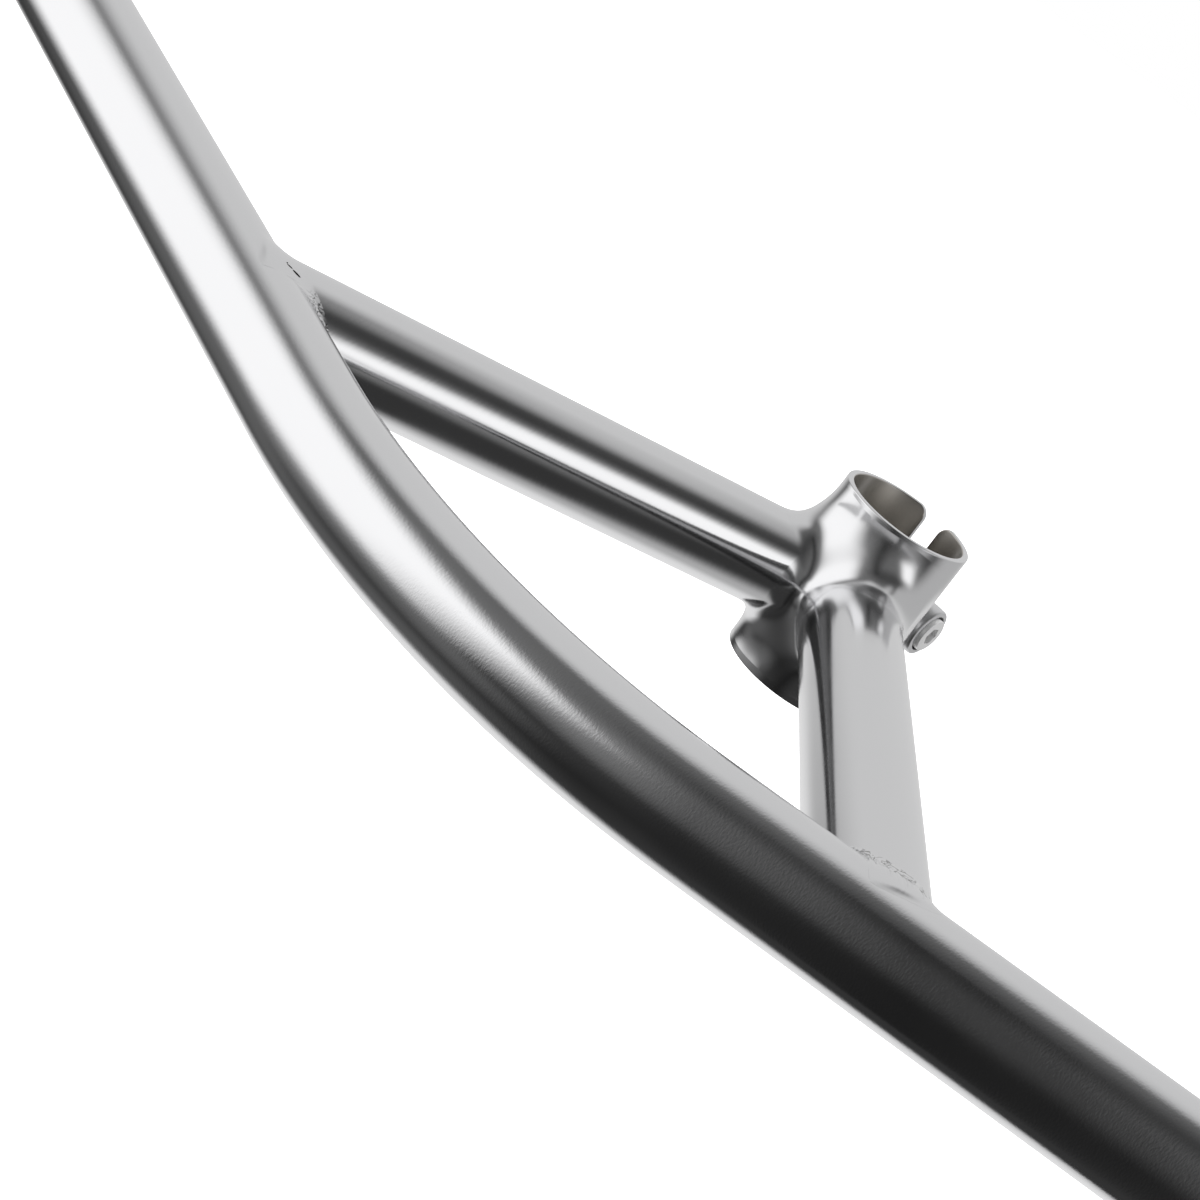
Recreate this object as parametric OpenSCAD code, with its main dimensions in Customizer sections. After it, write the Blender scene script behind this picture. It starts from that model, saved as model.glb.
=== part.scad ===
// Bullmoose handlebar: one swept bar, two extension tubes that run back from it,
// and the slotted collar that clamps on a bicycle fork's steerer tube.
// The origin is on the collar's axis, level with the extension tubes.
// +Z runs up the steerer and -Y points forward, from the collar to the bar.

/* [Bar] */
// Outside diameter of the bar
bar_d = 22.2; // [20:0.1:25.4]
// Wall thickness of the bar
bar_wall = 1.6; // [1:0.1:2.5]
// Width of the bar from tip to tip
bar_width = 750; // [500:5:820]
// Radius of the bend in the middle of the bar
bend_r = 185; // [150:1:230]
// Angle that each grip end sweeps back
sweep = 17.5; // [12:0.5:22]
// Angle that the swept ends rise out of the level
tilt = 11.5; // [0:0.5:20]
// Size of the chamfers at the bar's open ends
end_chamfer = 0.4; // [0.2:0.1:0.8]

/* [Extension tubes] */
// Distance from the collar's axis forward to the middle of the bar
reach = 143; // [115:1:180]
// Distance from the middle of the bar out to each tube joint, across the bike
joint_x = 88.5; // [80:0.5:110]
// Outside diameter of an extension tube
ext_d = 22; // [19:0.1:24]
// Wall thickness of an extension tube
ext_wall = 1.2; // [0.8:0.1:2]
// Clearance at the mitred tube ends, which the filler metal bridges
mitre_gap = 0.1; // [0.02:0.01:0.2]

/* [Collar] */
// Inside diameter of the collar, which fits the steerer tube
bore_d = 28.6; // [25.4:0.1:31.8]
// Wall thickness of the collar
collar_wall = 1.6; // [1.2:0.1:3]
// Height of the collar
collar_h = 45.5; // [38:0.5:60]
// Size of the chamfers at the collar's rims
rim_chamfer = 0.3; // [0.1:0.1:0.5]
// Width of the slot at the back of the collar
slot_w = 4.8; // [3:0.1:6]
// Radius of the slot's corners at the rims
slot_corner_r = 3.2; // [2:0.1:4]

/* [Binder] */
// Diameter of the round lug that the bolt passes through
lug_d = 12.3; // [11.5:0.1:15]
// Length of the lug across the slot
lug_len = 26; // [24:0.5:32]
// Distance from the collar's outer wall back to the bolt's axis
bolt_offset = 4.1; // [3.6:0.1:6]
// Diameter of the bolt's shank
bolt_d = 5; // [4:0.1:6]
// Length of the bolt under its head
bolt_len = 20; // [16:0.5:21]
// Diameter of the bolt's head
head_d = 8.5; // [8:0.1:9.5]
// Height of the bolt's head
head_h = 5; // [4:0.1:6]
// Width of the hexagon socket across its flats
hex_af = 4; // [3:0.1:5]
// Depth of the hexagon socket
hex_depth = 2.5; // [1.5:0.1:3]
// Depth of the pocket that takes the bolt's head
pocket_depth = 4; // [3:0.1:5]
// Clearance round the bolt's head in its pocket
head_gap = 0.6; // [0.3:0.05:0.8]
// Clearance round the bolt's shank
shank_gap = 0.1; // [0.05:0.05:0.3]

/* [Brazing] */
// Reach of the blend at the top of each tube, on the collar
blend_top = 10.8; // [5:0.1:12]
// Reach of the blend at the underside of each tube, on the collar
blend_under = 10.2; // [4:0.1:12]
// Reach of the blend beside each tube, on the collar
blend_side = 4.5; // [3:0.1:4.8]
// Reach of the blend between the two tubes
blend_fork = 8; // [4:0.25:10]
// Reach of the bead between a tube and the bar
bead = 2.4; // [1.5:0.1:5]

/* [Hidden] */
$fn = 96;
EPS = 0.01;
STEEL = [0.74, 0.74, 0.76];
BRAZE = [0.70, 0.70, 0.71];
BOLT = [0.62, 0.62, 0.64];

bar_r = bar_d / 2;
ext_r = ext_d / 2;
bore_r = bore_d / 2;
collar_r = bore_r + collar_wall;
lug_r = lug_d / 2;
bolt_y = collar_r + bolt_offset;

// The bar's arc ends where its straight legs start, and the joint lies out on a leg.
arc_x = bend_r * sin(sweep);
arc_back = bend_r * (1 - cos(sweep));
leg_len = (bar_width / 2 - arc_x) / cos(sweep);
joint_back = arc_back + (joint_x - arc_x) * tan(sweep);

// The joint is level with the collar's middle, so the bar's own middle lies lower.
bar_drop = joint_back * sin(tilt);
joint = [joint_x, -reach + joint_back * cos(tilt), 0];
ext_len = norm(joint);
leg_dir = [cos(sweep), sin(sweep) * cos(tilt), sin(sweep) * sin(tilt)];

// A blend stays on the collar's wall, between its rims.
wall_room = collar_h / 2 - ext_r - rim_chamfer;

// How finely the blends are drawn: steps round a tube, and steps across a blend.
ROUND_STEPS = 48;
FILLET_STEPS = 12;
BEAD_STEPS = 5;
// Thickness at the feathered edge of a blend.
FEATHER = 0.12;
// Steps of halving that find a point on a surface, and the farthest that it may lie.
HALVINGS = 16;
FAR = 70;
// Angles from the tube within which a blend is looked for.
NEAREST = 2;
FARTHEST = 150;
// Height over the joint, in tube radii, at which a blend has its full reach.
REACH_RISE = 1.3;
// Distance ahead of the host's axis, in host radii, at which a blend has its full reach.
REACH_AHEAD = 0.75;
// Angle by which a blend's middle stays short of the plane between the tubes.
SHORT_OF_PLANE = 0.5;
// Share of a slot corner's radius that lies inside the rim.
CORNER_RISE = 0.9;

// Smooth minimum of two distances, which rounds the corner between them over a reach k.
function blend_min(a, b, k) =
    let (h = max(k - abs(a - b), 0) / k) min(a, b) - h * h * k / 4;

// Distance of point p from the surface of a long round bar through the origin.
function off_bar(p, dir, r) = norm(p - (p * dir) * dir) - r;

// Distance of point p from a round tube that starts at the origin and runs along dir.
function off_tube(p, dir, r) =
    let (side = off_bar(p, dir, r), past = -p * dir)
    past > 0 ? norm([past, max(side, 0)]) : side;

function across_x(p) = [-p.x, p.y, p.z];

// A joint is [host direction, host radius, tube direction, tube radius, reach above,
// reach below, reach beside, reach to the mirrored tube or 0 where there is none].
// Level with the tube the reach is the one beside it, and it grows smoothly up and down
// on the side of the host that faces the tube.
function reach_at(j, p) =
    let (rise = min(abs(p.z) / (REACH_RISE * j[3]), 1),
         ahead = max(min(p * j[2] / (REACH_AHEAD * j[1]), 1), 0),
         s = rise * ahead)
    j[6] + (j[p.z > 0 ? 4 : 5] - j[6]) * s * s * (3 - 2 * s);

function sharp(j, p) =
    let (tube = off_tube(p, j[2], j[3]),
         twin = j[7] > 0 ? off_tube(across_x(p), j[2], j[3]) : FAR)
    min(off_bar(p, j[0], j[1]), tube, twin);

function smooth(j, p) =
    let (tube = off_tube(p, j[2], j[3]),
         tubes = j[7] > 0
             ? blend_min(tube, off_tube(across_x(p), j[2], j[3]), j[7])
             : tube)
    blend_min(off_bar(p, j[0], j[1]), tubes, reach_at(j, p));

// Direction from the joint's centre: a turns away from the tube, t goes round it.
function unit(v) = v / norm(v);
function up_of(j) = unit([0, 0, 1] - j[2].z * j[2]);
function side_of(j) = cross(j[2], up_of(j));
function ray(j, a, t) = cos(a) * j[2] + sin(a) * (cos(t) * up_of(j) + sin(t) * side_of(j));

// Distance along the ray d at which the smooth or the sharp surface is met.
function meet(j, d, is_smooth, near = 1, far = FAR, left = HALVINGS) =
    let (mid = (near + far) / 2)
    left == 0 ? mid
    : (is_smooth ? smooth(j, mid * d) : sharp(j, mid * d)) < 0
        ? meet(j, d, is_smooth, mid, far, left - 1)
        : meet(j, d, is_smooth, near, mid, left - 1);

function filled(j, a, t) =
    let (d = ray(j, a, t)) meet(j, d, true) - meet(j, d, false);

// Angle at which the blend thins out to its feathered edge, between a full and an empty one.
function edge(j, t, full, empty, left = HALVINGS) =
    let (mid = (full + empty) / 2)
    left == 0 ? mid
    : filled(j, mid, t) > FEATHER
        ? edge(j, t, mid, empty, left - 1)
        : edge(j, t, full, mid, left - 1);

// Angle of the ray through the corner line where the tube's side meets the host.
function corner(j, t, low = NEAREST, high = FARTHEST, left = HALVINGS) =
    let (mid = (low + high) / 2, p = meet(j, ray(j, mid, t), false) * ray(j, mid, t))
    left == 0 ? mid
    : off_tube(p, j[2], j[3]) < off_bar(p, j[0], j[1])
        ? corner(j, t, mid, high, left - 1)
        : corner(j, t, low, mid, left - 1);

// Angle at which a ray reaches the plane between the two tubes, if it does.
function middle(j, t) =
    let (s = (cos(t) * up_of(j) + sin(t) * side_of(j)).x)
    j[7] > 0 && s < 0 ? min(FARTHEST, atan2(j[2].x, -s)) : FARTHEST;

// Closed shell between the sharp surface and the smooth one, as a ring round the tube.
module blend_ring(j, steps) {
    spans = [for (i = [0 : ROUND_STEPS - 1])
        let (t = 360 * i / ROUND_STEPS,
             mid = min(corner(j, t), middle(j, t) - SHORT_OF_PLANE),
             stop = middle(j, t))
        [edge(j, t, mid, NEAREST),
         filled(j, stop, t) > FEATHER ? stop : edge(j, t, mid, stop)]];
    rays = [for (i = [0 : ROUND_STEPS - 1], k = [0 : steps])
        let (t = 360 * i / ROUND_STEPS)
        [t, spans[i][0] + (spans[i][1] - spans[i][0]) * k / steps]];
    skin = [for (r = rays) let (d = ray(j, r[1], r[0])) d * meet(j, d, true)];
    seat = [for (r = rays) let (d = ray(j, r[1], r[0]))
        d * min(meet(j, d, false) + mitre_gap, meet(j, d, true) - FEATHER / 2)];
    rows = steps + 1;
    n = ROUND_STEPS * rows;
    function at(i, k) = (i % ROUND_STEPS) * rows + k;
    polyhedron(
        points = concat(skin, seat),
        faces = [for (i = [0 : ROUND_STEPS - 1]) each concat(
            [for (k = [0 : steps - 1]) each [
                [at(i, k), at(i, k + 1), at(i + 1, k + 1)],
                [at(i, k), at(i + 1, k + 1), at(i + 1, k)],
                [n + at(i, k), n + at(i + 1, k + 1), n + at(i, k + 1)],
                [n + at(i, k), n + at(i + 1, k), n + at(i + 1, k + 1)]]],
            [[at(i, 0), at(i + 1, 0), n + at(i + 1, 0)],
             [at(i, 0), n + at(i + 1, 0), n + at(i, 0)],
             [at(i, steps), n + at(i + 1, steps), at(i + 1, steps)],
             [at(i, steps), n + at(i, steps), n + at(i + 1, steps)]])]);
}

// Turns a shape drawn along +Z so that it lies along dir.
module along(dir) {
    rotate([0, acos(dir.z), atan2(dir.y, dir.x)]) children();
}

module mirrored(is_left) {
    mirror([is_left ? 1 : 0, 0, 0]) children();
}

// Half of the bar, drawn round the centre of its bend: an arc and a straight leg that
// starts where the arc ends. The arc runs past the middle and is cut back to it.
module bar_half() {
    bore = bar_r - bar_wall;
    past_middle = 1;
    difference() {
        rotate([0, 0, sweep]) {
            rotate_extrude(angle = sweep + past_middle, start = -90 - sweep - past_middle)
                translate([bend_r, 0]) difference() {
                    circle(bar_r);
                    circle(bore);
                }
            translate([0, -bend_r, 0]) rotate([0, 90, 0]) rotate_extrude() polygon([
                [bore, 0], [bar_r, 0], [bar_r, leg_len - end_chamfer],
                [bar_r - end_chamfer, leg_len], [bore + end_chamfer, leg_len],
                [bore, leg_len - end_chamfer]]);
        }
        translate([-bend_r, -1.5 * bend_r, -bar_d]) cube([bend_r, bend_r, 2 * bar_d]);
    }
}

module bar_tube() {
    color(STEEL) translate([0, -reach, -bar_drop]) rotate([tilt, 0, 0]) translate([0, bend_r, 0]) {
        bar_half();
        mirror([1, 0, 0]) bar_half();
    }
}

module extension_tube(is_left) {
    color(STEEL) mirrored(is_left) difference() {
        along(unit(joint)) difference() {
            cylinder(r = ext_r, h = ext_len);
            translate([0, 0, -EPS]) cylinder(r = ext_r - ext_wall, h = ext_len + 2 * EPS);
        }
        // Mitre against the collar.
        translate([0, 0, -ext_d]) cylinder(r = collar_r + mitre_gap, h = 2 * ext_d);
        // Mitre against the bar.
        translate(joint) along(leg_dir)
            translate([0, 0, -2 * ext_d]) cylinder(r = bar_r + mitre_gap, h = 4 * ext_d);
        // Mitre against the other extension tube.
        translate([mitre_gap - 2 * ext_d, -3 * ext_d, -ext_d]) cube([2 * ext_d, 4 * ext_d, 2 * ext_d]);
    }
}

module collar_fillet(is_left) {
    color(BRAZE) mirrored(is_left)
        blend_ring([[0, 0, 1], collar_r, unit(joint), ext_r,
                    min(blend_top, wall_room), min(blend_under, wall_room),
                    blend_side, blend_fork], FILLET_STEPS);
}

module bar_weld(is_left) {
    color(BRAZE) mirrored(is_left) translate(joint)
        blend_ring([leg_dir, bar_r, -unit(joint), ext_r, bead, bead, bead, 0], BEAD_STEPS);
}

// Outline of the slot between its two walls. Each wall is rounded off at the rims, where
// the round corners are cut a little short of level.
module slot_outline() {
    corner_y = collar_h / 2 - CORNER_RISE * slot_corner_r;
    difference() {
        square([slot_w + slot_corner_r, collar_h + 2], center = true);
        for (side = [-1, 1]) translate([side * (slot_w / 2 + slot_corner_r), 0]) {
            square([2 * slot_corner_r, 2 * corner_y], center = true);
            for (end = [-1, 1]) translate([0, end * corner_y]) circle(slot_corner_r);
        }
    }
}

module steerer_clamp() {
    half_h = collar_h / 2;
    color(STEEL) difference() {
        union() {
            rotate_extrude() polygon([
                [bore_r - 1, -half_h], [collar_r - rim_chamfer, -half_h],
                [collar_r, rim_chamfer - half_h], [collar_r, half_h - rim_chamfer],
                [collar_r - rim_chamfer, half_h], [bore_r - 1, half_h]]);
            translate([0, bolt_y, 0]) rotate([0, 90, 0]) rotate_extrude() polygon([
                [0, -lug_len / 2], [lug_r - rim_chamfer, -lug_len / 2],
                [lug_r, rim_chamfer - lug_len / 2], [lug_r, lug_len / 2 - rim_chamfer],
                [lug_r - rim_chamfer, lug_len / 2], [0, lug_len / 2]]);
        }
        translate([0, 0, -half_h - 1]) cylinder(r = bore_r, h = collar_h + 2);
        // Slot, cut through the back of the collar and the lug.
        rotate([90, 0, 0]) mirror([0, 0, 1])
            linear_extrude(height = bolt_y + lug_d) slot_outline();
        // Hole for the bolt's shank, and the pocket for its head.
        translate([-lug_len, bolt_y, 0]) rotate([0, 90, 0])
            cylinder(d = bolt_d + 2 * shank_gap, h = 2 * lug_len);
        translate([lug_len / 2 - pocket_depth, bolt_y, 0]) rotate([0, 90, 0])
            cylinder(d = head_d + 2 * head_gap, h = lug_len);
    }
}

module clamp_bolt() {
    // The head's underside bears on the floor of the pocket.
    color(BOLT) translate([lug_len / 2 - pocket_depth, bolt_y, 0]) rotate([0, 90, 0]) difference() {
        union() {
            cylinder(d = head_d, h = head_h - rim_chamfer);
            translate([0, 0, head_h - rim_chamfer])
                cylinder(d1 = head_d, d2 = head_d - 2 * rim_chamfer, h = rim_chamfer);
            translate([0, 0, -bolt_len]) cylinder(d = bolt_d, h = bolt_len + EPS);
        }
        translate([0, 0, head_h - hex_depth])
            cylinder(d = hex_af / cos(30), h = hex_depth + 1, $fn = 6);
    }
}

bar_tube();
extension_tube(true);  // left_extension_tube
extension_tube(false);  // right_extension_tube
steerer_clamp();
collar_fillet(true);  // left_collar_fillet
collar_fillet(false);  // right_collar_fillet
bar_weld(true);  // left_bar_weld
bar_weld(false);  // right_bar_weld
clamp_bolt();
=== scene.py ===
"""Bullmoose handlebar, dressed as it lies before the photographer's lens.

One swept bar, two extension tubes brazed to it and to a slotted steerer collar, and
the binder bolt in its lug. Sizes are in millimetres inside the sub-assemblies, as a
frame builder gives them, and every finished mesh is scaled to metres.
"""

import logging
import math
from collections.abc import Callable, Mapping, Sequence
from dataclasses import dataclass, field, replace
from enum import Enum

import bmesh
import bpy
import numpy as np
from mathutils import Matrix, Vector

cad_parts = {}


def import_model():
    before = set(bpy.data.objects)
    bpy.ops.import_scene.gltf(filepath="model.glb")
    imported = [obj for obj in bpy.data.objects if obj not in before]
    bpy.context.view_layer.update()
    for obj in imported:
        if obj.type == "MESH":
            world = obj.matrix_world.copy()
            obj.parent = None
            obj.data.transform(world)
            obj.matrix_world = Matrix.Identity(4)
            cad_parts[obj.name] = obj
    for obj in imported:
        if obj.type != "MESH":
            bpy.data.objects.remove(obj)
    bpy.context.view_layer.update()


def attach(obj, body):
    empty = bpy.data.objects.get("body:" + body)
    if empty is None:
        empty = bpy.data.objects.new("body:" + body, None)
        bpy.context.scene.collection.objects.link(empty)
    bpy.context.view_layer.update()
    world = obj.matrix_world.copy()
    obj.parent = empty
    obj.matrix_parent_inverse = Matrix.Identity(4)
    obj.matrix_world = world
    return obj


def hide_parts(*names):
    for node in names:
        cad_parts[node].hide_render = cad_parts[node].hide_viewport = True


MM = 0.001
MERGE = 1e-4
COLLAR_R = 15.9
TUBE_R = 11.0
BOLT_Y = 20.0
BODY = "root"
LOG = logging.getLogger("bullmoose")

Mesh = bmesh.types.BMesh
Vert = bmesh.types.BMVert
Edge = bmesh.types.BMEdge
Part = Vert | Edge | bmesh.types.BMFace
Socket = bpy.types.NodeSocket
Colour = tuple[float, float, float]
Source = float | Sequence[float] | Socket


class Slot(Enum):
    """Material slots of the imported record."""

    BAR = "bar"
    TUBES = "tubes"
    COLLAR = "collar"
    FILLETS = "fillets"
    WELDS = "welds"
    BOLT = "bolt"


class Side(Enum):
    """Left or right of the bar's middle, as the sign of x."""

    LEFT = -1
    RIGHT = 1


# Mesh helpers


def round_loop(bm: Mesh, radius: float, segments: int) -> list[Vert]:
    """Adds an open circle in the XY plane.

    Args:
        bm: Mesh that takes the circle.
        radius: Radius in millimetres.
        segments: Number of edges.

    Returns:
        The circle's vertices in order.
    """
    return bmesh.ops.create_circle(bm, cap_ends=False, segments=segments, radius=radius)["verts"]


def loop_edges(verts: Sequence[Vert]) -> list[Edge]:
    """Returns the edges that join the given vertices to each other."""
    members = set(verts)
    return list({e for v in verts for e in v.link_edges if e.other_vert(v) in members})


def everything(bm: Mesh) -> list[Part]:
    """Returns all vertices, edges and faces of a mesh."""
    return bm.verts[:] + bm.edges[:] + bm.faces[:]


def lathe(bm: Mesh, profile: Sequence[tuple[float, float]], segments: int) -> None:
    """Spins a profile of (radius, height) points once round +Z into a closed skin.

    Args:
        bm: Mesh that takes the skin.
        profile: Points from one end to the other. A closed profile repeats its first.
        segments: Number of steps of the spin.
    """
    chain = [bm.verts.new((radius, 0.0, height)) for radius, height in profile]
    edges = [bm.edges.new(pair) for pair in zip(chain, chain[1:])]
    bmesh.ops.spin(
        bm,
        geom=chain + edges,
        cent=(0, 0, 0),
        axis=(0, 0, 1),
        angle=math.tau,
        steps=segments,
        use_merge=True,
        use_duplicate=False,
    )
    bmesh.ops.remove_doubles(bm, verts=bm.verts, dist=MERGE)
    bmesh.ops.recalc_face_normals(bm, faces=bm.faces)


def sheet(
    columns: int, rows: int, place: Callable[[np.ndarray, np.ndarray], np.ndarray]
) -> Mesh:
    """Bends a flat grid on to a surface and merges the borders that meet.

    Args:
        columns: Cells along u.
        rows: Cells along v.
        place: Gives the points in millimetres for arrays of u and v from 0 to 1.

    Returns:
        A mesh whose doubles are merged and whose normals point out.
    """
    bm = bmesh.new()
    bmesh.ops.create_grid(bm, x_segments=columns, y_segments=rows, size=0.5)
    flat = np.array([v.co[:2] for v in bm.verts]) + 0.5
    for vert, point in zip(bm.verts, place(flat[:, 0], flat[:, 1])):
        vert.co = point
    bmesh.ops.remove_doubles(bm, verts=bm.verts, dist=MERGE)
    bmesh.ops.recalc_face_normals(bm, faces=bm.faces)
    return bm


def turn_to(direction: Vector) -> Matrix:
    """Returns the rotation that lays +Z along the given direction."""
    return direction.to_track_quat("Z", "Y").to_matrix().to_4x4()


def smooth_object(bm: Mesh, name: str, sharp_deg: float = 40.0) -> bpy.types.Object:
    """Turns a mesh in millimetres into a smooth-shaded object in metres.

    Args:
        bm: The mesh, which is freed.
        name: Name of the piece.
        sharp_deg: Edges sharper than this angle stay sharp.

    Returns:
        The new object, linked to the scene, with its origin at the world's.
    """
    bmesh.ops.scale(bm, vec=(MM, MM, MM), verts=bm.verts)
    for face in bm.faces:
        face.smooth = True
    for edge in bm.edges:
        edge.smooth = edge.calc_face_angle(0.0) < math.radians(sharp_deg)
    mesh = bpy.data.meshes.new(name)
    bm.to_mesh(mesh)
    bm.free()
    piece = bpy.data.objects.new(name, mesh)
    bpy.context.scene.collection.objects.link(piece)
    return piece


def carve(body: Mesh, cutter: Mesh) -> Mesh:
    """Cuts one closed mesh out of another.

    Args:
        body: Mesh that is cut, and freed.
        cutter: Mesh that is taken away, and freed.

    Returns:
        The mesh that is left.
    """
    pair = []
    for name, bm in (("carve_body", body), ("carve_cutter", cutter)):
        mesh = bpy.data.meshes.new(name)
        bm.to_mesh(mesh)
        bm.free()
        obj = bpy.data.objects.new(name, mesh)
        bpy.context.scene.collection.objects.link(obj)
        pair.append(obj)
    target, tool = pair
    cut = target.modifiers.new("cut", "BOOLEAN")
    cut.operation = "DIFFERENCE"
    cut.solver = "EXACT"
    cut.object = tool
    bpy.context.view_layer.update()
    result = bmesh.new()
    result.from_object(target, bpy.context.evaluated_depsgraph_get())
    for obj in pair:
        mesh = obj.data
        bpy.data.objects.remove(obj)
        bpy.data.meshes.remove(mesh)
    return result


def dress(
    piece: bpy.types.Object,
    material: bpy.types.Material,
    slot: Slot,
    *nodes: str,
) -> bpy.types.Object:
    """Gives a piece its finish and its place in the part.

    Args:
        piece: The object.
        material: Its material.
        slot: The record's slot of that finish. Not used.
        nodes: CAD nodes that the piece stands for.

    Returns:
        The same object.
    """
    piece.data.materials.clear()
    piece.data.materials.append(material)
    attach(piece, BODY)
    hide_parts(*nodes)
    LOG.info("%s: %d faces, stands for %s", piece.name, len(piece.data.polygons), ", ".join(nodes))
    return piece


# Finishes


@dataclass(frozen=True)
class NodeNet:
    """A shader node tree that is wired by short calls."""

    tree: bpy.types.NodeTree

    def wire(self, value: Source, socket: Socket) -> None:
        """Links an output to an input, or sets the input to a constant."""
        if isinstance(value, Socket):
            self.tree.links.new(value, socket)
        else:
            socket.default_value = value

    def add(
        self, kind: str, inputs: Mapping[str | int, Source] | None = None, **settings: str
    ) -> bpy.types.Node:
        """Adds a node.

        Args:
            kind: The node's type, without its ShaderNode prefix.
            inputs: Constants or outputs of other nodes, by the name or number of the input.
            settings: The node's own options.

        Returns:
            The new node.
        """
        node = self.tree.nodes.new(f"ShaderNode{kind}")
        for option, value in settings.items():
            setattr(node, option, value)
        for key, value in (inputs or {}).items():
            self.wire(value, node.inputs[key])
        return node

    def math(self, operation: str, *values: Source) -> Socket:
        """Adds a Math node and returns its output."""
        return self.add("Math", dict(enumerate(values)), operation=operation).outputs[0]

    def vector_math(self, operation: str, *values: Source) -> bpy.types.Node:
        """Adds a Vector Math node and returns it."""
        return self.add("VectorMath", dict(enumerate(values)), operation=operation)

    def fade(self, value: Source, low: float, high: float) -> Socket:
        """Adds a smooth step from 0 at low to 1 at high and returns its output."""
        inputs = {"Value": value, "From Min": low, "From Max": high}
        return self.add("MapRange", inputs, interpolation_type="SMOOTHSTEP").outputs["Result"]

    def mix(self, share: Source, first: Source, second: Source) -> Socket:
        """Adds a Mix node for numbers and returns its output."""
        return self.add("Mix", {0: share, 2: first, 3: second}, data_type="FLOAT").outputs[0]

    def tint(self, share: Source, first: Colour, second: Colour) -> Socket:
        """Adds a Mix node for two colours and returns its output."""
        inputs = {0: share, 6: (*first, 1.0), 7: (*second, 1.0)}
        return self.add("Mix", inputs, data_type="RGBA").outputs[2]


@dataclass(frozen=True)
class PlatedFinish:
    """Polished bright plating over steel, with the lines that the polishing mop left, and painted
    crease shade where it is asked for.
    """

    name: str
    colour: Colour = (0.80, 0.80, 0.81)
    rough_low: float = 0.09
    rough_high: float = 0.16
    cloud_scale: float = 45.0
    cloud_span: tuple[float, float] = (0.3, 0.7)
    line_scale: tuple[float, float, float] = (1900.0, 320.0, 320.0)
    line_turn: float = 0.0
    line_depth: float = 0.000015
    line_strength: float = 0.35
    metal: float = 1.0
    crease_at: tuple[float, float, float] = (0.0, 0.0, 0.0)
    crease_r: float = 0.0
    crease_fade: float = 0.003
    crease_width: float = 0.035
    crease_scale: float = 850.0
    crease_colour: Colour = (0.2, 0.2, 0.2)
    bore_r: float = 0.0
    bore_colour: Colour = (0.54, 0.52, 0.49)
    bore_rough: float = 0.3

    def build(self) -> bpy.types.Material:
        """Returns the node material of this finish."""
        material = bpy.data.materials.new(self.name)
        material.use_nodes = True
        net = NodeNet(material.node_tree)
        shader = material.node_tree.nodes["Principled BSDF"]
        shader.inputs["Metallic"].default_value = self.metal
        shader.inputs["Base Color"].default_value = (*self.colour, 1.0)
        spot = net.add("TexCoord").outputs["Object"]
        cloud = net.add("TexNoise", {"Scale": self.cloud_scale, "Detail": 4.0, "Vector": spot})
        spread = {
            "Value": cloud.outputs["Fac"],
            "From Min": self.cloud_span[0],
            "From Max": self.cloud_span[1],
            "To Min": self.rough_low,
            "To Max": self.rough_high,
        }
        rough = net.add("MapRange", spread).outputs["Result"]
        if self.bore_r:
            inside = self.bore(net, spot)
            rough = net.mix(inside, rough, self.bore_rough)
            net.wire(net.tint(inside, self.colour, self.bore_colour), shader.inputs["Base Color"])
        # Painted shade: dark lines in the bead's creases, mixed into the base colour.
        if self.crease_r:
            share = self.creases(net, spot)
            net.wire(net.tint(share, self.colour, self.crease_colour), shader.inputs["Base Color"])
        net.wire(rough, shader.inputs["Roughness"])
        turned = (0.0, 0.0, self.line_turn)
        stretch = net.add("Mapping", {"Vector": spot, "Rotation": turned, "Scale": self.line_scale})
        lines = net.add("TexNoise", {"Scale": 1.0, "Detail": 3.0, "Vector": stretch.outputs[0]})
        relief = {
            "Strength": self.line_strength,
            "Distance": self.line_depth,
            "Height": lines.outputs["Fac"],
        }
        net.wire(net.add("Bump", relief).outputs["Normal"], shader.inputs["Normal"])
        return material

    def creases(self, net: NodeNet, spot: Socket) -> Socket:
        """Paints fine dark lines round one place, as painted shade in the bead's creases.

        Args:
            net: Node tree of the finish.
            spot: Object coordinates.

        Returns:
            The painted crease shade's share of the colour.
        """
        grain = net.add("TexNoise", {"Scale": self.crease_scale, "Detail": 2.0, "Vector": spot})
        line = net.math("COMPARE", grain.outputs["Fac"], 0.5, self.crease_width)
        off = net.vector_math("DISTANCE", spot, self.crease_at).outputs["Value"]
        near = net.fade(off, self.crease_r, self.crease_r - self.crease_fade)
        return net.math("MULTIPLY", line, near)

    def bore(self, net: NodeNet, spot: Socket) -> Socket:
        """Tells the reamed steel of the bore, which is darker and duller, from the plating.

        Args:
            net: Node tree of the finish.
            spot: Object coordinates.

        Returns:
            1 inside the bore and 0 outside it.
        """
        flat = net.vector_math("MULTIPLY", spot, (1.0, 1.0, 0.0)).outputs["Vector"]
        return net.math("LESS_THAN", net.vector_math("LENGTH", flat).outputs["Value"], self.bore_r)


# Sub-assemblies


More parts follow.
